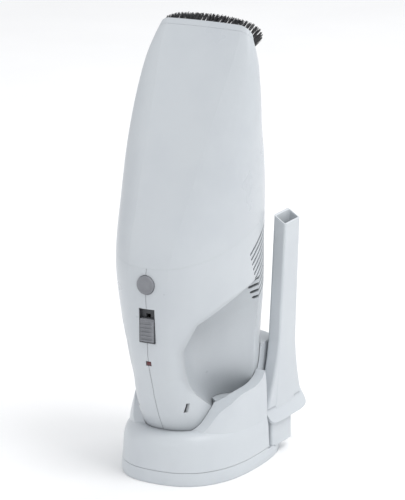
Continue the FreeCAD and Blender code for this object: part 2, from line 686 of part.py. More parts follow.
def stand_outer(inset):
    """The stand's outside form, moved inwards by inset."""
    base = stand_form(STAND_BASE, inset, -inset)
    cradle = stand_form(STAND_CRADLE, inset)
    cradle = cradle.cut(rim_cutter(inset))
    return base.fuse(cradle)


def seat_form(grow):
    """The hollow that the vacuum stands in: its lower end, enlarged by grow."""
    return hull(-grow).common(box(-90, 90, -120, 110, 40, 150)).fuse(handle(-grow))


def niche(grow=0.0):
    """The cut-out in the stand's +X side for the tool post."""
    return box(NICHE_X - grow, 100, NICHE_Y - grow, 120, COVER_TOP - 2 - grow, 140)


def stand_shell():
    """The upper moulding: deck, cup, cradle and back wall."""
    hollow = stand_outer(STAND_WALL).cut([seat_form(FIT + STAND_WALL), niche(STAND_WALL)])
    posts = [cylinder(POST_R, 80, V(x, y, COVER_TOP - 8)) for x, y in STAND_SCREW_PLACES]
    hollow = hollow.cut(posts)
    body = stand_outer(0.0).cut([hollow, seat_form(FIT), niche()])
    low = stand_form(STAND_BASE, STAND_WALL + 0.3).common(box(-100, 100, -120, 120, 4, COVER_TOP))
    feet = [cylinder(POST_R, COVER_TOP - 3, V(x, y, 4)).common(low) for x, y in STAND_SCREW_PLACES]
    body = body.cut(box(-100, 100, -120, 120, -10, COVER_TOP))
    for foot in feet:
        body = body.fuse(foot)
    holes = [cylinder(1.9, 20, V(x, PIN_Y, 18)) for x in PIN_XS]
    holes += [cylinder(1.3, 20, V(x, y, 0)) for x, y in STAND_SCREW_PLACES]
    holes.append(cylinder(INLET_R + 2.0, 20, V(0, 74, INLET_Z), V(0, 1, 0)))
    return max(body.cut(holes).Solids, key=lambda solid: solid.Volume)


def stand_base_cover():
    """The tray that closes the stand from below."""
    hollow = stand_form(STAND_BASE, STAND_WALL).common(box(-100, 100, -120, 120, COVER_FLOOR, 30))
    bosses = [cylinder(5.2, 3.6, V(x, y, 0)) for x, y in STAND_SCREW_PLACES]
    hollow = hollow.cut(bosses + [box(NICHE_X - 3, 100, NICHE_Y - 3, 120, 0, 40)])
    body = stand_form(STAND_BASE, 0.0).common(box(-100, 100, -120, 120, 0, COVER_TOP - 0.3))
    above_shelf = box(NICHE_X - 3, 100, NICHE_Y - 3, 120, COVER_TOP - 2, 40)
    body = body.cut([hollow, above_shelf])
    holes = [cylinder(FOOT_R + 0.1, FOOT_DEPTH, V(x, y, 0)) for x, y in FEET_PLACES]
    for x, y in STAND_SCREW_PLACES + (POST_SCREW,):
        holes.append(cylinder(1.7, 30, V(x, y, -1)).fuse(cylinder(3.2, 3.2, V(x, y, -1))))
    return body.cut(holes)


def stand_feet():
    """Four rubber pads let into the underside."""
    return Part.makeCompound([cylinder(FOOT_R, FOOT_DEPTH, V(x, y, 0)) for x, y in FEET_PLACES])


def stand_screws():
    """Four screws for the cover and one for the tool post."""
    screws = []
    for x, y in STAND_SCREW_PLACES + (POST_SCREW,):
        head = cylinder(2.9, 1.8, V(x, y, 0.3))
        shank = cylinder(1.3, 16, V(x, y, 2.1))
        slot = box(x - 2, x + 2, y - 0.4, y + 0.4, 0.2, 1.2)
        screws.append(head.fuse(shank).cut(slot))
    return Part.makeCompound(screws)


def tool_axis():
    """Direction of the crevice tool's centre line."""
    lean = math.radians(TOOL_LEAN)
    return V(math.sin(lean), 0, math.cos(lean))


def tool_centre(z):
    """The point of the crevice tool's centre line at a height."""
    return V(TOOL_X + math.tan(math.radians(TOOL_LEAN)) * (z - TOOL_Z), TOOL_Y, z)


def tool_post():
    """The block beside the cradle and the tongue that stands in the crevice tool."""
    block = ribbed_box(POST_X0, POST_X1, POST_Y0, POST_Y1, POST_LOW, POST_TOP, 2.5)
    middle, slope, normal, length = flange_frame()
    block = block.cut(half_space(middle - normal * (FLANGE_THICK + 0.6), normal))
    block = block.cut(box(POST_X0 - 1, POST_X1 + 5, POST_Y0 - 1, NICHE_Y + 42, 0, COVER_TOP - 2).common(
        stand_form(STAND_BASE, -0.3)))
    tongue = Part.makeBox(7.6, 23, 56, V(-3.8, -11.5, 0))
    tongue.Placement = FreeCAD.Placement(tool_centre(26), FreeCAD.Rotation(V(0, 1, 0), TOOL_LEAN))
    body = fuse([block, tongue])
    return body.cut(cylinder(1.35, 14.2, V(POST_SCREW[0], POST_SCREW[1], 4)))


def tool_section(z, half_x, half_y, radius, shift_y=0.0):
    """A rounded rectangle square to the crevice tool's centre line."""
    centre = tool_centre(z) + V(0, shift_y, 0)
    axis = tool_axis()
    across = V(axis.z, 0, -axis.x)
    along = V(0, 1, 0)
    corners = ((1, -1), (1, 1), (-1, 1), (-1, -1))
    edges, last = [], None
    diag = radius * (1 - math.sqrt(0.5))
    for i, (sx, sy) in enumerate(corners):
        corner = centre + across * (sx * half_x) + along * (sy * half_y)
        if i % 2 == 0:
            a, b = corner - across * (sx * radius), corner - along * (sy * radius)
        else:
            a, b = corner - along * (sy * radius), corner - across * (sx * radius)
        mid = corner - across * (sx * diag) - along * (sy * diag)
        if last is not None:
            edges.append(Part.LineSegment(last, a).toShape())
        else:
            first = a
        edges.append(Part.Arc(a, mid, b).toShape())
        last = b
    edges.append(Part.LineSegment(last, first).toShape())
    return Part.Wire(edges)


def flange_frame():
    """Middle, slope direction and normal of the crevice tool's slanted flange."""
    slope = FLANGE_LOW - FLANGE_HIGH
    length = slope.Length
    slope.normalize()
    middle = (FLANGE_HIGH + FLANGE_LOW) * 0.5 + V(0, TOOL_Y, 0)
    return middle, slope, V(-slope.z, 0, slope.x), length


def crevice_tool():
    """The crevice tool: a long flat tube, a flared foot and a slanted flange."""
    middle, slope, normal, length = flange_frame()
    outline = oval_wire(middle, slope, V(0, 1, 0), length / 2, FLANGE_HALF, 5, 36)
    flange = prism(outline, normal * -FLANGE_THICK)
    tube = Part.makeLoft([tool_section(20, 6.1, 19.5, 2.0), tool_section(60, 6.0, 17.6, 2.0),
                          tool_section(112, 6.0, 15.8, 2.0), tool_section(235, 6.0, 14.2, 2.0)], True, False)
    flare = Part.makeLoft([tool_section(44, 5.6, 33, 2.5), tool_section(70, 5.8, 23, 2.5),
                           tool_section(92, 5.9, 17.5, 2.2), tool_section(122, 5.9, 15.4, 2.0)], True, False)
    above = half_space(middle - normal * FLANGE_THICK, normal)
    body = fuse([flange, tube.common(above), flare.common(above)])
    bore = Part.makeLoft([tool_section(10, 4.6, 17.2, 1.0), tool_section(112, 4.5, 14.2, 1.0),
                          tool_section(245, 4.5, 12.7, 1.0)], True, False)
    tip = half_space(tool_centre(TOOL_TIP - 6), V(math.sin(math.radians(33)), 0, math.cos(math.radians(33))))
    return body.cut(bore).cut(tip)


# ---- charging contacts -------------------------------------------------------------------------
def contact_block():
    """The insulating block under the cup that guides the contact pins."""
    block = box(-16, 16, PIN_Y - 8, PIN_Y + 8, 13, 27.0)
    bores = [cylinder(2.25, 7.6, V(x, PIN_Y, 15)) for x in PIN_XS]
    bores += [cylinder(1.8, 20, V(x, PIN_Y, 10)) for x in PIN_XS]
    return block.cut(bores)


def contact_pins():
    """Two plated pins that meet the pads under the handle."""
    pins = []
    for x in PIN_XS:
        tip = cylinder(1.5, 8.6, V(x, PIN_Y, 21))
        tip = tip.makeFillet(0.9, [e for e in tip.Edges if e.Closed and e.CenterOfMass.z > 29])
        collar = cylinder(2.1, 1.6, V(x, PIN_Y, 20.6))
        pins.append(fuse([tip, collar]))
    return Part.makeCompound(pins)


def contact_springs():
    """The two springs under the pins, as closed sleeves."""
    sleeves = []
    for x in PIN_XS:
        ring = cylinder(1.9, 5.4, V(x, PIN_Y, 15.1))
        sleeves.append(ring.cut(cylinder(1.2, 8, V(x, PIN_Y, 14))))
    return Part.makeCompound(sleeves)


def dc_inlet():
    """The round charging socket in the back wall, with its centre pin."""
    body = box(-6.5, 6.5, 66, 78, INLET_Z - 6.5, INLET_Z + 6.5)
    nose = cylinder(INLET_R + 1.8, 5.2, V(0, 77.5, INLET_Z), V(0, 1, 0))
    body = fuse([body, nose]).cut(cylinder(2.8, 12, V(0, 72, INLET_Z), V(0, 1, 0)))
    return fuse([body, cylinder(1.05, 9, V(0, 71.5, INLET_Z), V(0, 1, 0))])


# ---- build -------------------------------------------------------------------------------------
def build():
    """Every node by name."""
    outer, inner = vacuum_solid(0.0), vacuum_solid(WALL)
    left, right = housing_halves(outer, inner)
    cells = battery_cells()
    return {
        "stand_shell": stand_shell(), "stand_base_cover": stand_base_cover(), "stand_feet": stand_feet(),
        "stand_screws": stand_screws(), "tool_post": tool_post(), "contact_block": contact_block(),
        "contact_pins": contact_pins(), "contact_springs": contact_springs(), "dc_inlet": dc_inlet(),
        "housing_left": left, "housing_right": right, "housing_screws": housing_screws(),
        "intake_grille": intake_grille(inner), "bowl_seal": bowl_seal(),
        "motor_can": motor_can(), "motor_mount": motor_mount(), "motor_shaft": motor_shaft(),
        "fan_impeller": fan_impeller(), "fan_shroud": fan_shroud(),
        "battery_cells": cells, "battery_holder": battery_holder(cells),
        "charge_contacts": charge_contacts(), "switch_bezel": switch_bezel(),
        "switch_block": switch_block(), "power_slider": power_slider(), "led_lens": led_lens(),
        "led_board": led_board(), "release_button": release_button(), "bowl_latch": bowl_latch(),
        "release_spring": release_spring(), "spring_seat": spring_seat(inner),
        "dust_bowl": dust_bowl(outer, inner), "inlet_duct": inlet_duct(inner), "inlet_flap": inlet_flap(),
        "filter_frame": filter_frame(), "filter_pleats": filter_pleats(),
        "filter_screen": filter_screen(), "brush_frame": brush_frame(outer),
        "brush_bristles": brush_bristles(), "crevice_tool": crevice_tool(),
    }


os.makedirs("parts", exist_ok=True)
for name, shape in build().items():
    shape.exportStep("parts/" + name + ".step")
    box_of = shape.BoundBox
    print("%-18s solids %d valid %s vol %.0f  x %.1f %.1f  y %.1f %.1f  z %.1f %.1f" % (
        name, len(shape.Solids), shape.isValid(), shape.Volume, box_of.XMin, box_of.XMax,
        box_of.YMin, box_of.YMax, box_of.ZMin, box_of.ZMax))
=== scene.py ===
"""Visual model of a cordless hand vacuum in its charging stand, with a crevice tool beside it.

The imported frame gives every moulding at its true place. This script gives those mouldings their
finishes, models the small pieces that the frame only outlines (bristles, controls, lamp and
springs), and adds a studio round them. Lengths are in millimetres until they reach Blender, which
works in metres.
"""

import logging
import math
import random
from collections.abc import Callable, Iterator
from contextlib import contextmanager
from dataclasses import dataclass, field
from enum import Enum

import bmesh
import bpy
from mathutils import Matrix, Vector

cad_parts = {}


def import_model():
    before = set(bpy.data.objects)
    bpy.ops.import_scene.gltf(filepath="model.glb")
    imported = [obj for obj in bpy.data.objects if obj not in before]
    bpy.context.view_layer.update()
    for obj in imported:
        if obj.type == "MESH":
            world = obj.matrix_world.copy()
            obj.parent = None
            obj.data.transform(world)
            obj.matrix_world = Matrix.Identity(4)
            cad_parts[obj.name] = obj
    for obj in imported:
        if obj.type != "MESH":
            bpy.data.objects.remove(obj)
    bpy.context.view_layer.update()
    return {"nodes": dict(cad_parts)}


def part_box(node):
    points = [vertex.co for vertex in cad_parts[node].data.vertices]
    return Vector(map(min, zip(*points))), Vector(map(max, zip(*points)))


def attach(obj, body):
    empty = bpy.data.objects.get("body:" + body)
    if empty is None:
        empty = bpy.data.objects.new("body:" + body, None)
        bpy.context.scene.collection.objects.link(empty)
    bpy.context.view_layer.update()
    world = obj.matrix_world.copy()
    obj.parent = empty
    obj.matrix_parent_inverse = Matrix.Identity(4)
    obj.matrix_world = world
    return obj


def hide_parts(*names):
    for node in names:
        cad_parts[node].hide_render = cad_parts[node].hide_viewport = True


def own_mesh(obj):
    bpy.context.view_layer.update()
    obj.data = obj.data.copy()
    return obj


LOG = logging.getLogger("vacuum")
MM = 0.001

# Finishes: the parts of the noise that the colour and the sheen follow, and shared surface values.
COLOUR_RANGE = (0.3, 0.6)
SHEEN_RANGE = (0.3, 0.7)
PATCH_DETAIL, PATCH_ROUGHNESS = 3.0, 0.55
# Painted shade in the hollows: how far the ambient occlusion reaches, in mm, and its samples.
PAINTED_SHADE_REACH_MM, PAINTED_SHADE_SAMPLES = 60, 6
EDGE_SAMPLES, SOFT_EDGE_SAMPLES = 4, 8
BUMP_STRENGTH = 0.5
CELL_SMOOTHNESS = 0.8
PLAIN_DETAIL, FIBRE_DETAIL = 2.0, 6.0
PLASTIC_IOR = 1.49
# Sockets of a colour mix, which share their names with the sockets of the other mixes.
MIX_A, MIX_B, MIX_RESULT = 6, 7, 2

# Round the grip's hollows: where the wide rounding starts along each measure, and where it is full.
HOLLOWS_MM = (("Z", 74, 84), ("Z", 172, 162), ("Y", -8, -24), ("side", 12, 17))

# A face counts as facing an axis when its normal runs at least this far along it.
FACING = 0.9


# ---- colours and finishes -----------------------------------------------------------------------
def linear(code: str) -> tuple[float, float, float, float]:
    """Turn a hex sRGB colour into linear RGBA.

    Args:
        code: Six hex digits, with or without a leading #.

    Returns:
        Linear red, green, blue and an alpha of 1.
    """
    digits = code.lstrip("#")
    channels = [int(digits[i:i + 2], 16) / 255 for i in (0, 2, 4)]
    red, green, blue = [c / 12.92 if c <= 0.04045 else ((c + 0.055) / 1.055) ** 2.4
                        for c in channels]
    return red, green, blue, 1.0


def add_node(tree: bpy.types.NodeTree, kind: str, **values: object) -> bpy.types.Node:
    """Add one node and set its properties and sockets.

    Args:
        tree: The material's node tree.
        kind: The node's type name.
        **values: Property names, socket names, or A_Color / B_Color for a colour mix.

    Returns:
        The new node.
    """
    node = tree.nodes.new(kind)
    for key, value in values.items():
        if key in ("A_Color", "B_Color"):
            node.inputs[MIX_A if key == "A_Color" else MIX_B].default_value = value
        elif key in node.inputs:
            node.inputs[key].default_value = value
        else:
            setattr(node, key, value)
    return node


def ramp(tree: bpy.types.NodeTree, value: bpy.types.NodeSocket, source: tuple = (0.0, 1.0),
         target: tuple = (0.0, 1.0), **values: object) -> bpy.types.NodeSocket:
    """Map a value from one range onto another.

    Args:
        tree: The material's node tree.
        value: The socket that carries the value.
        source: Ends of the range that it comes from.
        target: Ends of the range that it goes to.
        **values: More properties of the node.

    Returns:
        The socket that carries the mapped value.
    """
    node = add_node(tree, "ShaderNodeMapRange", **values, **{
        "From Min": source[0], "From Max": source[1], "To Min": target[0], "To Max": target[1]})
    tree.links.new(value, node.inputs["Value"])
    return node.outputs["Result"]


class Relief(Enum):
    """How the surface was made, which sets the shape of its finest relief."""

    ERODED = "even pits from a spark-eroded mould"
    POLISHED = "long, faint flow waves from a polished mould"
    DRAWN = "lines along the drawing direction"
    FIBROUS = "crossing fibres"
    SPONGY = "open, soft pores"


# How much finer the relief is along X, Y and Z: below 1 it runs long in that direction.
STRETCH = {Relief.DRAWN: (1, 1, 0.05), Relief.POLISHED: (1, 1, 0.35)}
EVEN = (1, 1, 1)


@dataclass(frozen=True)
class Finish:
    """One real material and the way it was made.

    Args:
        name: The material's name, after the real material and process.
        slot: The record's material slot; not used.
        light: Hex colour of the clean surface.
        deep: Hex colour of its slightly darker patches.
        roughness: Middle roughness.
        spread: How far the roughness wanders to each side.
        patch_mm: Size of the colour and roughness patches.
        relief: Kind of the finest relief.
        grain_mm: Size of that relief.
        depth_mm: Height of that relief.
        edge_mm: Radius that the moulding's edges look rounded to.
        metallic: 1 for a metal.
        coat: Strength of a clear top layer.
        glow: Light passing through the material, for a lens.
        soft_mm: Wider rounding of the edges of the grip's hollows, when above 0.
        painted_hollow_shade: Painted shade: how much darker the colour is painted where the surface
            is occluded, from 0 to 1.
    """

    name: str
    slot: str
    light: str
    deep: str
    roughness: float
    spread: float
    patch_mm: float
    relief: Relief
    grain_mm: float
    depth_mm: float
    edge_mm: float = 0.3
    metallic: float = 0.0
    coat: float = 0.0
    glow: float = 0.0
    soft_mm: float = 0.0
    painted_hollow_shade: float = 0.0

    def material(self) -> bpy.types.Material:
        """Give the Blender material, made on first use."""
        made = bpy.data.materials.get(self.name)
        if made is None:
            made = bpy.data.materials.new(self.name)
            made.use_nodes = True
            self._wire(made.node_tree)
        return made

    def _wire(self, tree: bpy.types.NodeTree) -> None:
        """Fill the node tree: patches of colour and sheen, then relief and rounded edges."""
        shader = next(n for n in tree.nodes if n.type == "BSDF_PRINCIPLED")
        place = add_node(tree, "ShaderNodeTexCoord").outputs["Object"]
        patches = add_node(tree, "ShaderNodeTexNoise", Scale=1 / (self.patch_mm * MM),
                           Detail=PATCH_DETAIL, Roughness=PATCH_ROUGHNESS)
        tree.links.new(place, patches.inputs["Vector"])
        cover = patches.outputs["Fac"]
        sheen = (self.roughness - self.spread, self.roughness + self.spread)
        tree.links.new(self._tone(tree, cover), shader.inputs["Base Color"])
        tree.links.new(ramp(tree, cover, SHEEN_RANGE, sheen), shader.inputs["Roughness"])
        tree.links.new(self._surface(tree, place), shader.inputs["Normal"])
        shader.inputs["Metallic"].default_value = self.metallic
        if self.metallic == 0:
            shader.inputs["IOR"].default_value = PLASTIC_IOR
        shader.inputs["Coat Weight"].default_value = self.coat
        shader.inputs["Transmission Weight"].default_value = self.glow

    def _tone(self, tree: bpy.types.NodeTree,
              cover: bpy.types.NodeSocket) -> bpy.types.NodeSocket:
        """Give the socket that carries the colour, with painted shade darkening it where the
        surface is occluded, where that is asked.
        """
        colour = add_node(tree, "ShaderNodeMix", data_type="RGBA", A_Color=linear(self.deep),
                          B_Color=linear(self.light))
        tree.links.new(ramp(tree, cover, COLOUR_RANGE), colour.inputs["Factor"])
        if not self.painted_hollow_shade:
            return colour.outputs[MIX_RESULT]
        # Painted shade: ambient occlusion darkens the colour in the grip's hollows, the vents and
        # other occluded places.
        shade = add_node(tree, "ShaderNodeAmbientOcclusion", samples=PAINTED_SHADE_SAMPLES,
                         Distance=PAINTED_SHADE_REACH_MM * MM)
        painted_shade = add_node(tree, "ShaderNodeVectorMath", operation="SCALE")
        tree.links.new(colour.outputs[MIX_RESULT], painted_shade.inputs[0])
        tree.links.new(ramp(tree, shade.outputs["AO"], target=(1 - self.painted_hollow_shade, 1.0)),
                       painted_shade.inputs["Scale"])
        return painted_shade.outputs["Vector"]

    def _surface(self, tree: bpy.types.NodeTree,
                 place: bpy.types.NodeSocket) -> bpy.types.NodeSocket:
        """Give the socket that carries the normal, with its edges rounded and its relief."""
        edges = add_node(tree, "ShaderNodeBevel", Radius=self.edge_mm * MM,
                         samples=SOFT_EDGE_SAMPLES if self.soft_mm else EDGE_SAMPLES)
        if self.soft_mm:
            tree.links.new(self._soft_zone(tree, place), edges.inputs["Radius"])
        bump = add_node(tree, "ShaderNodeBump", Strength=BUMP_STRENGTH,
                        Distance=self.depth_mm * MM)
        tree.links.new(self._relief(tree, place), bump.inputs["Height"])
        tree.links.new(edges.outputs["Normal"], bump.inputs["Normal"])
        return bump.outputs["Normal"]

    def _soft_zone(self, tree: bpy.types.NodeTree,
                   place: bpy.types.NodeSocket) -> bpy.types.NodeSocket:
        """Give the rounding radius: wide round the hollows, narrow at seams and controls."""
        split = add_node(tree, "ShaderNodeSeparateXYZ")
        tree.links.new(place, split.inputs["Vector"])
        side = add_node(tree, "ShaderNodeMath", operation="ABSOLUTE")
        tree.links.new(split.outputs["X"], side.inputs[0])
        measures = {"Y": split.outputs["Y"], "Z": split.outputs["Z"], "side": side.outputs[0]}
        share = None
        for measure, none, full in HOLLOWS_MM:
            inside = ramp(tree, measures[measure], (none * MM, full * MM),
                          interpolation_type="SMOOTHSTEP")
            if share is None:
                share = inside
                continue
            both = add_node(tree, "ShaderNodeMath", operation="MULTIPLY")
            tree.links.new(share, both.inputs[0])
            tree.links.new(inside, both.inputs[1])
            share = both.outputs[0]
        return ramp(tree, share, target=(self.edge_mm * MM, self.soft_mm * MM))

    def _relief(self, tree: bpy.types.NodeTree,
                place: bpy.types.NodeSocket) -> bpy.types.NodeSocket:
        """Give the socket that carries the height of the finest relief."""
        scale = 1 / (self.grain_mm * MM)
        turned = add_node(tree, "ShaderNodeMapping",
                          Scale=tuple(scale * s for s in STRETCH.get(self.relief, EVEN)))
        tree.links.new(place, turned.inputs["Vector"])
        if self.relief in (Relief.ERODED, Relief.SPONGY):
            cells = add_node(tree, "ShaderNodeTexVoronoi", feature="SMOOTH_F1", Scale=1.0,
                             Smoothness=CELL_SMOOTHNESS)
            tree.links.new(turned.outputs["Vector"], cells.inputs["Vector"])
            return cells.outputs["Distance"]
        detail = FIBRE_DETAIL if self.relief is Relief.FIBROUS else PLAIN_DETAIL
        fine = add_node(tree, "ShaderNodeTexNoise", Scale=1.0, Detail=detail)
        tree.links.new(turned.outputs["Vector"], fine.inputs["Vector"])
        return fine.outputs["Fac"]


# Polished moulds leave the bowl smooth: a soft, wide highlight with the faintest waviness.
ABS_WHITE = Finish(
    "abs_injection_moulded_white", "abs_white", "C5CACE", "C0C5CA", 0.30, 0.04, 60,
    Relief.POLISHED, 14, 0.02, edge_mm=0.35)
# The same plastic, from a mould with generous radii round the hollows of the grip, so that no
# hard line catches the light there. Its colour carries painted shade: darker wherever the surface
# is occluded.
ABS_HOUSING = Finish(
    "abs_injection_moulded_housing_with_painted_shade", "abs_white", "C5CACE", "C0C5CA", 0.30, 0.04, 60,
    Relief.POLISHED, 14, 0.02, edge_mm=0.8, soft_mm=9.0, painted_hollow_shade=0.5)
# The stand comes from an eroded mould, so its highlights are a touch wider than the housing's.
ABS_STAND = Finish(
    "abs_injection_moulded_stand", "abs_white", "CACFD3", "C4C9CE", 0.36, 0.05, 70,
    Relief.ERODED, 0.5, 0.008, edge_mm=0.6)
# Pigmented polypropylene, finely eroded: mid grey, with no clear reflections.
PP_GREY = Finish(
    "polypropylene_moulded_grey", "grey_control", "86888D", "7C7E83", 0.48, 0.05, 8,
    Relief.ERODED, 0.28, 0.02, edge_mm=0.35)
# Dark acetal for the grille, the switch's bezel, the latch and the inner mouldings: satin charcoal.
ACETAL_DARK = Finish(
    "acetal_moulded_charcoal", "dark_control", "45474B", "3C3E42", 0.42, 0.06, 10,
    Relief.ERODED, 0.3, 0.015, edge_mm=0.25)
# Glass-filled nylon: nearly black, dull, with a dry surface.
NYLON_BLACK = Finish(
    "nylon_glass_filled_black", "black_part", "232427", "1B1C1E", 0.58, 0.08, 6,
    Relief.ERODED, 0.25, 0.03)
# Drawn nylon filament: charcoal, with a thin highlight down each bristle.
NYLON_BRISTLE = Finish(
    "nylon_drawn_filament", "bristle", "353538", "232326", 0.38, 0.08, 5,
    Relief.DRAWN, 0.2, 0.01, edge_mm=0.05)
# Clear red acrylic over an unlit lamp: deep red with a bright skin.
ACRYLIC_RED = Finish(
    "acrylic_cast_red", "led_red", "5E141C", "480E15", 0.14, 0.03, 3,
    Relief.POLISHED, 2, 0.01, edge_mm=0.3, coat=0.6, glow=0.15)
# Moulded rubber: dark, soft and without highlights.
RUBBER = Finish(
    "rubber_moulded_black", "rubber", "2B2B2C", "222223", 0.78, 0.07, 5,
    Relief.SPONGY, 0.4, 0.03)
# Zinc-plated steel: cool and bright, with fine lines from drawing and turning.
STEEL = Finish(
    "steel_drawn_zinc_plated", "steel", "B9BCC2", "A3A7AE", 0.30, 0.08, 6,
    Relief.DRAWN, 0.15, 0.006, metallic=1.0)
# Gold-coloured brass with a light tarnish in patches.
BRASS = Finish(
    "brass_turned_contact", "brass", "D2AE62", "B58F48", 0.28, 0.08, 2,
    Relief.DRAWN, 0.1, 0.004, edge_mm=0.15, metallic=1.0)
# Shrink sleeve: thin green film that follows the can, glossy with small ripples.
SLEEVE = Finish(
    "pvc_shrink_sleeve_green", "cell_wrap", "2F7D54", "276A47", 0.26, 0.06, 9,
    Relief.POLISHED, 3, 0.05)
# Solder-masked glass laminate: green, with the weave just showing.
LAMINATE = Finish(
    "glass_laminate_solder_mask", "board", "1F6B3C", "185730", 0.35, 0.06, 3,
    Relief.FIBROUS, 0.5, 0.02)
# Pleated filter paper: warm white, with loose fibres that take all shine away.
PAPER = Finish(
    "filter_paper_pleated", "paper", "E6E2D4", "D3CDBB", 0.86, 0.05, 4,
    Relief.FIBROUS, 0.5, 0.06)
# Seamless paper under the stand: matt white with the slightest tooth.
FLOOR_PAPER = Finish(
    "paper_seamless_white", "abs_white", "FDFDFD", "FBFBFB", 0.9, 0.04, 200,
    Relief.FIBROUS, 1, 0.02)


# ---- modelling helpers --------------------------------------------------------------------------
def deselect() -> None:
    """Leave edit mode and select nothing."""
    if bpy.context.object is not None and bpy.context.object.mode != "OBJECT":
        bpy.ops.object.mode_set(mode="OBJECT")
    bpy.ops.object.select_all(action="DESELECT")


def activate(piece: bpy.types.Object) -> None:
    """Make one object the only selected and active one.

    Args:
        piece: The object.
    """
    deselect()
    piece.select_set(True)
    bpy.context.view_layer.objects.active = piece


def named(name: str) -> bpy.types.Object:
    """Name the active object and its mesh.

    Args:
        name: The piece's name.

    Returns:
        The active object.
    """
    piece = bpy.context.object
    piece.name = piece.data.name = name
    return piece


def settle(piece: bpy.types.Object) -> None:
    """Put the object at the origin, unturned and unscaled, with its place in the mesh.

    Args:
        piece: The object.
    """
    activate(piece)
    bpy.ops.object.transform_apply(location=True, rotation=True, scale=True)


def cylinder(name: str, radius: float, length: float, centre: Vector, turn: tuple = (0, 0, 0),
             sides: int = 48) -> bpy.types.Object:
    """Add a cylinder.

    Args:
        name: The piece's name.
        radius: Radius in mm.
        length: Length in mm.
        centre: Its middle, in mm.
        turn: Euler angles in radians; the axis is Z without them.
        sides: Number of sides.

    Returns:
        The new object, with its place in the mesh.
    """
    deselect()
    bpy.ops.mesh.primitive_cylinder_add(vertices=sides, radius=radius * MM, depth=length * MM,
                                        location=Vector(centre) * MM, rotation=turn)
    piece = named(name)
    settle(piece)
    return piece


def block(name: str, low: tuple, high: tuple) -> bpy.types.Object:
    """Add a box.

    Args:
        name: The piece's name.
        low: Its lowest corner, in mm.
        high: Its highest corner, in mm.

    Returns:
        The new object, with its place in the mesh.
    """
    low, high = Vector(low), Vector(high)
    deselect()
    bpy.ops.mesh.primitive_cube_add(size=1, location=(low + high) / 2 * MM,
                                    scale=(high - low) * MM)
    piece = named(name)
    settle(piece)
    return piece


def every_face(face: bmesh.types.BMFace) -> bool:
    """Pick all faces."""
    return True


def front_face(face: bmesh.types.BMFace) -> bool:
    """Pick the faces that look towards -Y, the side with the controls."""
    return face.normal.y < -FACING


def top_face(face: bmesh.types.BMFace) -> bool:
    """Pick the faces that look up."""
    return face.normal.z > FACING


def bottom_face(face: bmesh.types.BMFace) -> bool:
    """Pick the faces that look down."""
    return face.normal.z < -FACING


@contextmanager
def editing(piece: bpy.types.Object,
            pick: Callable[[bmesh.types.BMFace], bool]) -> Iterator[None]:
    """Open a piece in edit mode with some faces selected, and close it with its normals outward.

    Args:
        piece: The object to edit.
        pick: True for each face to select.

    Yields:
        Nothing; the edit mode lasts as long as the block.
    """
    activate(piece)
    bpy.ops.object.mode_set(mode="EDIT")
    bpy.ops.mesh.select_mode(type="FACE")
    bpy.ops.mesh.select_all(action="DESELECT")
    mesh = bmesh.from_edit_mesh(piece.data)
    for face in mesh.faces:
        face.select_set(pick(face))
    bmesh.update_edit_mesh(piece.data)
    yield
    bpy.ops.mesh.select_all(action="SELECT")
    bpy.ops.mesh.normals_make_consistent(inside=False)
    bpy.ops.object.mode_set(mode="OBJECT")


def step_front(piece: bpy.types.Object, steps: tuple) -> None:
    """Inset a piece's front face again and again.

    Args:
        piece: The object to edit.
        steps: Width and height of each inset, in mm; a height below 0 sinks it.
    """
    with editing(piece, front_face):
        for width, height in steps:
            bpy.ops.mesh.inset(thickness=width * MM, depth=height * MM)


def bevel(piece: bpy.types.Object, width: float, segments: int = 3, angle: float = 35) -> None:
    """Round a piece's sharp edges and shade the rest smooth.

    Args:
        piece: The object.
        width: Width of the rounding, in mm.
        segments: Steps across it.
        angle: Edges sharper than this many degrees are rounded and stay crisp.
    """
    activate(piece)
    rounding = piece.modifiers.new("rounding", "BEVEL")
    rounding.width = width * MM
    rounding.segments = segments
    rounding.limit_method = "ANGLE"
    rounding.angle_limit = math.radians(angle)
    bpy.ops.object.modifier_apply(modifier="rounding")
    bpy.ops.object.shade_smooth_by_angle(angle=math.radians(angle))


def copy_of(piece: bpy.types.Object, name: str, move: Matrix) -> bpy.types.Object:
    """Copy a piece together with its mesh.

    Args:
        piece: The object to copy.
        name: The copy's name.
        move: Where the copy goes, as a matrix in metres.

    Returns:
        The copy.
    """
    twin = piece.copy()
    twin.data = piece.data.copy()
    twin.name = twin.data.name = name
    twin.data.transform(move)
    bpy.context.scene.collection.objects.link(twin)
    return twin


def join(pieces: list[bpy.types.Object], name: str) -> bpy.types.Object:
    """Join several objects into the first one.

    Args:
        pieces: The objects.
        name: The whole's name.

    Returns:
        The joined object.
    """
    activate(pieces[0])
    for piece in pieces:
        piece.select_set(True)
    bpy.ops.object.join()
    return named(name)


def rotation(turn: tuple) -> Matrix:
    """Turn Euler angles into a matrix.

    Args:
        turn: Angles about X, Y and Z in radians, applied in that order.

    Returns:
        The 4x4 matrix.
    """
    return (Matrix.Rotation(turn[2], 4, "Z") @ Matrix.Rotation(turn[1], 4, "Y")
            @ Matrix.Rotation(turn[0], 4, "X"))


def outline_of(node: str) -> tuple[Vector, Vector]:
    """Give the box round a moulding of the frame.

    Args:
        node: The moulding's name.

    Returns:
        Its lowest and highest corners, in mm.
    """
    low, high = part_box(node)
    return low / MM, high / MM


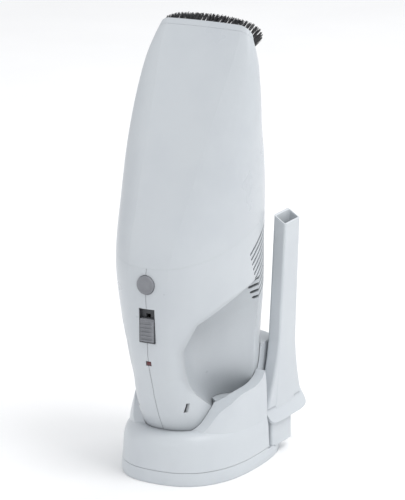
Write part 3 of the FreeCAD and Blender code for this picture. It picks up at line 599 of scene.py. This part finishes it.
# ---- sub-assemblies -----------------------------------------------------------------------------
@dataclass
class SubAssembly:
    """A group of pieces that belong together.

    Args:
        nodes: The frame's mouldings by name.
        body: The body that new pieces ride on.
        finishes: The finish of each moulding that stays as it is.
    """

    nodes: dict[str, bpy.types.Object]
    body: str = "vacuum"
    finishes: dict[str, Finish] = field(default_factory=dict)

    def build(self) -> None:
        """Dress the mouldings, then model what the frame only outlines."""
        for name, finish in self.finishes.items():
            self.dress(self.nodes[name], finish)
            LOG.info("%s: %s", name, finish.name)
        self.model()

    def model(self) -> None:
        """Model this group's own pieces; a plain group has none."""

    def dress(self, piece: bpy.types.Object, finish: Finish) -> None:
        """Give a moulding its finish through its object's material slots.

        Args:
            piece: The moulding.
            finish: Its finish.
        """
        if not piece.material_slots:
            piece.data.materials.append(None)
        for place in piece.material_slots:
            place.link = "OBJECT"
            place.material = finish.material()

    def hand_over(self, piece: bpy.types.Object, finish: Finish, *stands_for: str) -> None:
        """Finish a new piece: material, body and the mouldings it stands for.

        Args:
            piece: The new piece.
            finish: Its finish.
            *stands_for: Names of the mouldings that it replaces.
        """
        piece.data.materials.clear()
        piece.data.materials.append(finish.material())
        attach(piece, self.body)
        if stands_for:
            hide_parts(*stands_for)
        LOG.info("%s: %d faces, %s", piece.name, len(piece.data.polygons), finish.name)


@dataclass(frozen=True)
class Coil:
    """A coil spring, wound from a ring of wire.

    Args:
        radius: Radius of the coil's centre line, in mm.
        wire: Radius of the wire, in mm.
        length: Length of the spring, in mm.
        turns: Number of turns.
        steps: Steps in each turn.
        wire_sides: Sides of the wire.
    """

    radius: float
    wire: float
    length: float
    turns: int = 6
    steps: int = 20
    wire_sides: int = 8

    def wind(self, name: str, foot: tuple, turn: tuple = (0, 0, 0)) -> bpy.types.Object:
        """Wind the spring.

        Args:
            name: The piece's name.
            foot: Middle of the end that stays, in mm.
            turn: Euler angles of its axis, which is Z without them.

        Returns:
            The spring, with its place in the mesh.
        """
        deselect()
        bpy.ops.mesh.primitive_circle_add(
            vertices=self.wire_sides, radius=self.wire * MM, fill_type="NOTHING",
            location=(self.radius * MM, 0, self.wire * MM), rotation=(math.pi / 2, 0, 0))
        spring = named(name)
        settle(spring)
        winding = spring.modifiers.new("winding", "SCREW")
        winding.steps = winding.render_steps = self.steps
        winding.iterations = self.turns
        winding.screw_offset = (self.length - 2 * self.wire) / self.turns * MM
        bpy.ops.object.modifier_apply(modifier="winding")
        with editing(spring, every_face):
            bpy.ops.mesh.remove_doubles(threshold=1e-6)
        spring.data.transform(Matrix.Translation(Vector(foot) * MM) @ rotation(turn))
        bpy.ops.object.shade_smooth()
        return spring


@dataclass
class NozzleBrush(SubAssembly):
    """The slanted brush: tufts of bristles set round the mouth, square to it.

    Args:
        seed: Seed of the random draws.
        tilt: Degrees between the bristles and the vertical.
        mouth: The mouth's upper front point, in mm.
        mouth_drop: From that point down the slant to the mouth's centre, in mm.
        foot_mm: Height of the bristles' feet above the mouth's plane.
        length_mm: Length of the longest bristle.
        thickness: Radius of a bristle at its foot, in mm.
        taper: Radius of its tip, as a share of the foot's.
        flare: How far the tufts lean outward.
        rows: How far outside the mouth's oval each row stands, in mm.
        half_x: Half the oval's width, in mm.
        half_v: Half its height along the slant, in mm.
        row_share: Share of a row's offset that counts along the slant.
        squareness: The oval's power; 2 would be an ellipse.
        walk: Steps taken round the oval.
        pitch: Distance between tufts along a row, in mm.
        filaments: Bristles in a tuft.
        tuft_mm: Radius of a tuft at its foot.
        splay: Degrees that a bristle leans for each mm off its tuft's centre, both ways.
        scatter: Spread of that lean, in degrees.
        trim: Shortest and longest bristle, as shares of the length.
    """

    seed: int = 7
    tilt: float = 60.0
    mouth: tuple = (0.0, 2.0, 388.0)
    mouth_drop: float = 15
    foot_mm: float = 4.0
    length_mm: float = 11.8
    thickness: float = 0.23
    taper: float = 0.55
    flare: float = 0.14
    rows: tuple = (-1.9, -0.2, 1.5)
    half_x: float = 42.9
    half_v: float = 12.9
    row_share: float = 0.9
    squareness: float = 2.6
    walk: int = 720
    pitch: float = 3.3
    filaments: int = 24
    tuft_mm: float = 0.72
    splay: tuple = (4.0, 5.0)
    scatter: float = 1.2
    trim: tuple = (0.9, 1.0)

    def model(self) -> None:
        """Model one filament, set tufts of it along the rows, and join them."""
        chance = random.Random(self.seed)
        filament = self.filament()
        tufts = []
        for number, foot in enumerate(self.feet()):
            for _ in range(self.filaments):
                tufts.append(copy_of(filament, f"filament_{number}", foot @ self.stray(chance)))
        bpy.data.objects.remove(filament)
        bristles = join(tufts, "bristle_tufts")
        activate(bristles)
        bpy.ops.object.shade_smooth_by_angle(angle=math.radians(50))
        self.hand_over(bristles, NYLON_BRISTLE, "brush_bristles")

    def filament(self) -> bpy.types.Object:
        """Model one bristle along Z: five-sided, tapered, and open at its hidden foot."""
        filament = cylinder("filament", self.thickness, self.length_mm,
                            Vector((0, 0, self.length_mm / 2)), sides=5)
        with editing(filament, top_face):
            bpy.ops.transform.resize(value=(self.taper, self.taper, 1))
        with editing(filament, bottom_face):
            bpy.ops.mesh.delete(type="FACE")
        return filament

    def stray(self, chance: random.Random) -> Matrix:
        """Draw one bristle's place, lean and length within its tuft.

        Args:
            chance: The source of the draws, which are made in a fixed order.

        Returns:
            The matrix from the tuft's foot, in metres.
        """
        angle, reach = chance.uniform(0, math.tau), self.tuft_mm * math.sqrt(chance.random())
        along, across = math.cos(angle) * reach, math.sin(angle) * reach
        splay_across, splay_along = self.splay
        shift = Matrix.Translation(Vector((along, across, 0)) * MM)
        pitch = math.radians(-splay_across * across + chance.gauss(0, self.scatter))
        roll = math.radians(splay_along * along + chance.gauss(0, self.scatter))
        lean = Matrix.Rotation(pitch, 4, "X") @ Matrix.Rotation(roll, 4, "Y")
        return shift @ lean @ Matrix.Scale(chance.uniform(*self.trim), 4, Vector((0, 0, 1)))

    def feet(self) -> list[Matrix]:
        """Find where each tuft stands.

        Returns:
            Matrices in metres, with Z along the bristles.
        """
        tilt = math.radians(self.tilt)
        normal = Vector((0, math.sin(tilt), math.cos(tilt)))
        down = Vector((0, math.cos(tilt), -math.sin(tilt)))
        centre = Vector(self.mouth) + down * self.mouth_drop + normal * self.foot_mm
        places = []
        for number, row in enumerate(self.rows):
            outline = self.oval(centre, down, row)
            walked = self.pitch * number / len(self.rows)
            for a, b in zip(outline, outline[1:]):
                walked += (b - a).length
                if walked >= self.pitch:
                    walked -= self.pitch
                    up = (normal + (b - centre).normalized() * self.flare).normalized()
                    along = (b - a).normalized()
                    turn = Matrix((along, up.cross(along), up)).transposed().to_4x4()
                    places.append(Matrix.Translation(b * MM) @ turn)
        return places

    def oval(self, centre: Vector, down: Vector, row: float) -> list[Vector]:
        """Trace one row's squarish oval.

        Args:
            centre: Its centre, in mm.
            down: Unit vector down the slant.
            row: How far outside the mouth's oval it runs, in mm.

        Returns:
            Its points, in mm, with the first one again at the end.
        """
        half_x, half_v = self.half_x + row, self.half_v + row * self.row_share
        power = 2 / self.squareness
        points = []
        for step in range(self.walk + 1):
            angle = math.tau * step / self.walk
            c, s = math.cos(angle), math.sin(angle)
            points.append(centre
                          + Vector((1, 0, 0)) * (half_x * math.copysign(abs(c) ** power, c))
                          + down * (half_v * math.copysign(abs(s) ** power, s)))
        return points


@dataclass
class Controls(SubAssembly):
    """The release button, the sliding switch and the lamp on the front, and the button's spring.

    Args:
        cap_mm: Depth of the button's cap.
        cap_steps: Insets that dish the cap.
        stem_radius: Radius of the button's stem, in mm.
        stem_mm: How far in the stem starts, and how much shorter than the button it is.
        plate_mm: How far the slider's plate lies behind its ridges.
        plate_rim: Inset of the plate's face, and how far that face is raised, in mm.
        ridges: Number of ridges.
        ridge_side: From the plate's sides to the ridges, in mm.
        ridge_half: Half a ridge's width at its foot, in mm.
        ridge_mm: Height of a ridge.
        ridge_top: Width of a ridge's top, as a share of its foot's.
        ridge_margin: From the plate's ends to the middle of the end ridges, in mm.
        lens_mm: How far the lens's edge lies behind its face.
        lens_steps: Insets that raise the lens.
        coil: The button's spring.
        coil_foot: Where the spring stands, in mm.
    """

    cap_mm: float = 5.0
    cap_steps: tuple = ((1.5, 0), (0.8, -0.35), (2.6, -0.2))
    stem_radius: float = 3.4
    stem_mm: tuple = (4.8, 4.9)
    plate_mm: float = 1.5
    plate_rim: tuple = (0.9, 0.4)
    ridges: int = 6
    ridge_side: float = 1.0
    ridge_half: float = 0.75
    ridge_mm: float = 2.2
    ridge_top: float = 0.45
    ridge_margin: float = 1.7
    lens_mm: float = 0.5
    lens_steps: tuple = ((0.8, 0.35), (0.6, 0.15))
    coil: Coil = Coil(radius=2.6, wire=0.35, length=9.0)
    coil_foot: tuple = (0, -78.5, 183)

    def model(self) -> None:
        """Model the three controls and the spring."""
        self.button()
        self.slider()
        self.lamp()
        self.spring()

    def button(self) -> None:
        """Model a round push button with a dished face and a stem."""
        low, high = outline_of("release_button")
        middle = (low + high) / 2
        facing = (math.pi / 2, 0, 0)
        cap = cylinder("release_button_cap", (high.x - low.x) / 2, self.cap_mm,
                       Vector((0, low.y + self.cap_mm / 2, middle.z)), facing, 96)
        step_front(cap, self.cap_steps)
        bevel(cap, 0.7, 4, 40)
        start, shorter = self.stem_mm
        stem = cylinder("stem", self.stem_radius, high.y - low.y - shorter,
                        Vector((0, (low.y + start + high.y) / 2, middle.z)), facing)
        self.body = "button"
        self.hand_over(join([cap, stem], "release_button_cap"), PP_GREY, "release_button")

    def slider(self) -> None:
        """Model the switch's thumb piece: a plate with ridges across it."""
        low, high = outline_of("power_slider")
        rim, raised = self.plate_rim
        plate = block("thumb_slider", (low.x, low.y + self.plate_mm, low.z), high)
        with editing(plate, front_face):
            bpy.ops.mesh.inset(thickness=rim * MM, depth=0)
            bpy.ops.transform.translate(value=(0, -raised * MM, 0))
        bevel(plate, 0.4)
        ridge = block("ridge", (low.x + self.ridge_side, low.y, -self.ridge_half),
                      (high.x - self.ridge_side, low.y + self.ridge_mm, self.ridge_half))
        with editing(ridge, front_face):
            bpy.ops.transform.resize(value=(1, 1, self.ridge_top))
        bevel(ridge, 0.25)
        gap = (high.z - low.z - 2 * self.ridge_margin) / (self.ridges - 1)
        ridges = []
        for i in range(self.ridges):
            level = Vector((0, 0, low.z + self.ridge_margin + gap * i)) * MM
            ridges.append(copy_of(ridge, f"ridge_{i}", Matrix.Translation(level)))
        bpy.data.objects.remove(ridge)
        self.body = "slider"
        self.hand_over(join([plate] + ridges, "thumb_slider"), PP_GREY, "power_slider")

    def lamp(self) -> None:
        """Model a small rectangular lens with a domed face."""
        low, high = outline_of("led_lens")
        lens = block("lamp_lens", (low.x, low.y + self.lens_mm, low.z), high)
        step_front(lens, self.lens_steps)
        bevel(lens, 0.35, 4, 12)
        self.body = "vacuum"
        self.hand_over(lens, ACRYLIC_RED, "led_lens")

    def spring(self) -> None:
        """Wind the spring behind the button and give it a mesh of its own."""
        spring = self.coil.wind("release_coil", self.coil_foot, (math.pi / 2, 0, 0))
        self.body = "vacuum"
        self.hand_over(spring, STEEL, "release_spring")
        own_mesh(spring)


@dataclass
class ChargingContacts(SubAssembly):
    """The sprung contacts under the cup.

    Args:
        coil: The spring under each pin.
        places: Name and middle of each spring's foot, in mm.
    """

    coil: Coil = Coil(radius=1.6, wire=0.25, length=5.4)
    places: tuple = (("left", (-8, -41, 15.1)), ("right", (8, -41, 15.1)))

    def model(self) -> None:
        """Wind the two springs under the pins and give them a mesh of their own."""
        springs = [self.coil.wind(f"contact_coil_{side}", foot) for side, foot in self.places]
        coils = join(springs, "contact_coils")
        self.hand_over(coils, STEEL, "contact_springs")
        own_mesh(coils)


# ---- studio -------------------------------------------------------------------------------------
@dataclass(frozen=True)
class Studio:
    """A white floor, three soft lights, an even white surround and the camera.

    Args:
        eye_mm: Where the camera stands.
        azimuth: How far round to the right it stands, in degrees from the front.
        elevation: How far it looks down, in degrees.
        lens: Its focal length, in mm.
        floor_size: The floor's side, in metres.
        floor_level: The floor's height, in metres, just clear of the stand's feet.
        lamps: Name, place and size in metres, and power in watts, of each light.
        aim: What the lights point at, in metres.
        surround: Strength of the surround as a light, and where it is seen directly.
        exposure: The picture's exposure, in stops.
    """

    eye_mm: tuple = (1381.48, -2596.22, 1004.80)
    azimuth: float = 28.0
    elevation: float = 15.5
    lens: float = 252.0
    floor_size: float = 8
    floor_level: float = -0.0002
    lamps: tuple = (
        ("key", (1.3, -0.3, 2.4), (1.2, 1.2), 20.0),
        ("fill", (-1.6, -1.6, 1.0), (1.2, 1.6), 2.0),
        ("strip", (0.4, 1.5, 1.7), (1.6, 0.6), 8.0))
    aim: tuple = (0, 0, 0.2)
    surround: tuple = (0.62, 1.05)
    exposure: float = 0.34

    def build(self) -> None:
        """Set up the floor, the lights, the surroundings and the camera."""
        self.floor()
        self.lights()
        self.surroundings()
        self.camera()

    def floor(self) -> None:
        """Lay a wide pale floor just under the stand."""
        deselect()
        bpy.ops.mesh.primitive_plane_add(size=self.floor_size, location=(0, 0, self.floor_level))
        floor = bpy.context.object
        floor.name = "floor"
        floor.data.materials.append(FLOOR_PAPER.material())

    def lights(self) -> None:
        """Hang a key from the upper right, a fill from the left and a strip behind."""
        for name, place, size, power in self.lamps:
            lamp = bpy.data.lights.new(name, "AREA")
            lamp.shape = "RECTANGLE"
            lamp.size, lamp.size_y = size
            lamp.energy = power
            holder = bpy.data.objects.new(name, lamp)
            bpy.context.scene.collection.objects.link(holder)
            holder.location = place
            aim = Vector(self.aim) - Vector(place)
            holder.rotation_euler = aim.to_track_quat("-Z", "Y").to_euler()

    def surroundings(self) -> None:
        """Surround it all evenly: paper white where seen directly, a little dimmer as a light."""
        world = bpy.data.worlds.new("surround")
        world.use_nodes = True
        tree = world.node_tree
        sky = next(n for n in tree.nodes if n.type == "BACKGROUND")
        sky.inputs["Color"].default_value = linear("FCFDFF")
        seen = add_node(tree, "ShaderNodeLightPath").outputs["Is Camera Ray"]
        tree.links.new(ramp(tree, seen, target=self.surround), sky.inputs["Strength"])
        bpy.context.scene.world = world
        bpy.context.scene.view_settings.view_transform = "Standard"
        bpy.context.scene.view_settings.exposure = self.exposure

    def camera(self) -> None:
        """Set a long lens in front, to the right and a little above."""
        a, e = math.radians(self.azimuth), math.radians(self.elevation)
        right = Vector((math.cos(a), math.sin(a), 0))
        back = Vector((math.sin(a) * math.cos(e), -math.cos(a) * math.cos(e), math.sin(e)))
        up = back.cross(right)
        data = bpy.data.cameras.new("camera")
        data.lens = self.lens
        camera = bpy.data.objects.new("camera", data)
        bpy.context.scene.collection.objects.link(camera)
        turn = Matrix((right, up, back)).transposed().to_4x4()
        camera.matrix_world = Matrix.Translation(Vector(self.eye_mm) * MM) @ turn
        bpy.context.scene.camera = camera


# ---- the whole model ----------------------------------------------------------------------------
def assemblies(nodes: dict[str, bpy.types.Object]) -> list[SubAssembly]:
    """List every sub-assembly, with the finish of each moulding that stays.

    Args:
        nodes: The frame's mouldings by name.

    Returns:
        The sub-assemblies, in the order they are built.
    """
    return [
        SubAssembly(nodes, "vacuum", {
            "housing_left": ABS_HOUSING, "housing_right": ABS_HOUSING, "housing_screws": STEEL,
            "intake_grille": ACETAL_DARK, "bowl_seal": RUBBER, "spring_seat": ACETAL_DARK,
            "switch_bezel": ACETAL_DARK, "switch_block": NYLON_BLACK, "led_board": LAMINATE}),
        SubAssembly(nodes, "vacuum", {
            "motor_can": STEEL, "motor_mount": NYLON_BLACK, "fan_shroud": NYLON_BLACK,
            "motor_shaft": STEEL, "fan_impeller": ACETAL_DARK, "battery_cells": SLEEVE,
            "battery_holder": ACETAL_DARK, "charge_contacts": BRASS,
            "bowl_latch": ACETAL_DARK}),
        SubAssembly(nodes, "bowl", {
            "dust_bowl": ABS_WHITE, "inlet_duct": ABS_WHITE, "inlet_flap": RUBBER,
            "filter_frame": ACETAL_DARK, "filter_pleats": PAPER,
            "filter_screen": ACETAL_DARK}),
        NozzleBrush(nodes, "brush", {"brush_frame": ABS_WHITE}),
        Controls(nodes, "vacuum"),
        SubAssembly(nodes, "stand", {
            "stand_shell": ABS_STAND, "stand_base_cover": ABS_STAND, "stand_feet": RUBBER,
            "stand_screws": STEEL, "tool_post": ABS_STAND, "dc_inlet": NYLON_BLACK}),
        ChargingContacts(nodes, "stand", {"contact_block": NYLON_BLACK, "contact_pins": BRASS}),
        SubAssembly(nodes, "crevice", {"crevice_tool": ABS_STAND}),
    ]


def main() -> None:
    """Load the frame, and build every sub-assembly and the studio."""
    logging.basicConfig(level=logging.INFO, format="%(message)s")
    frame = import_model()
    for group in assemblies(frame["nodes"]):
        group.build()
    Studio().build()


if __name__ == "__main__":
    main()
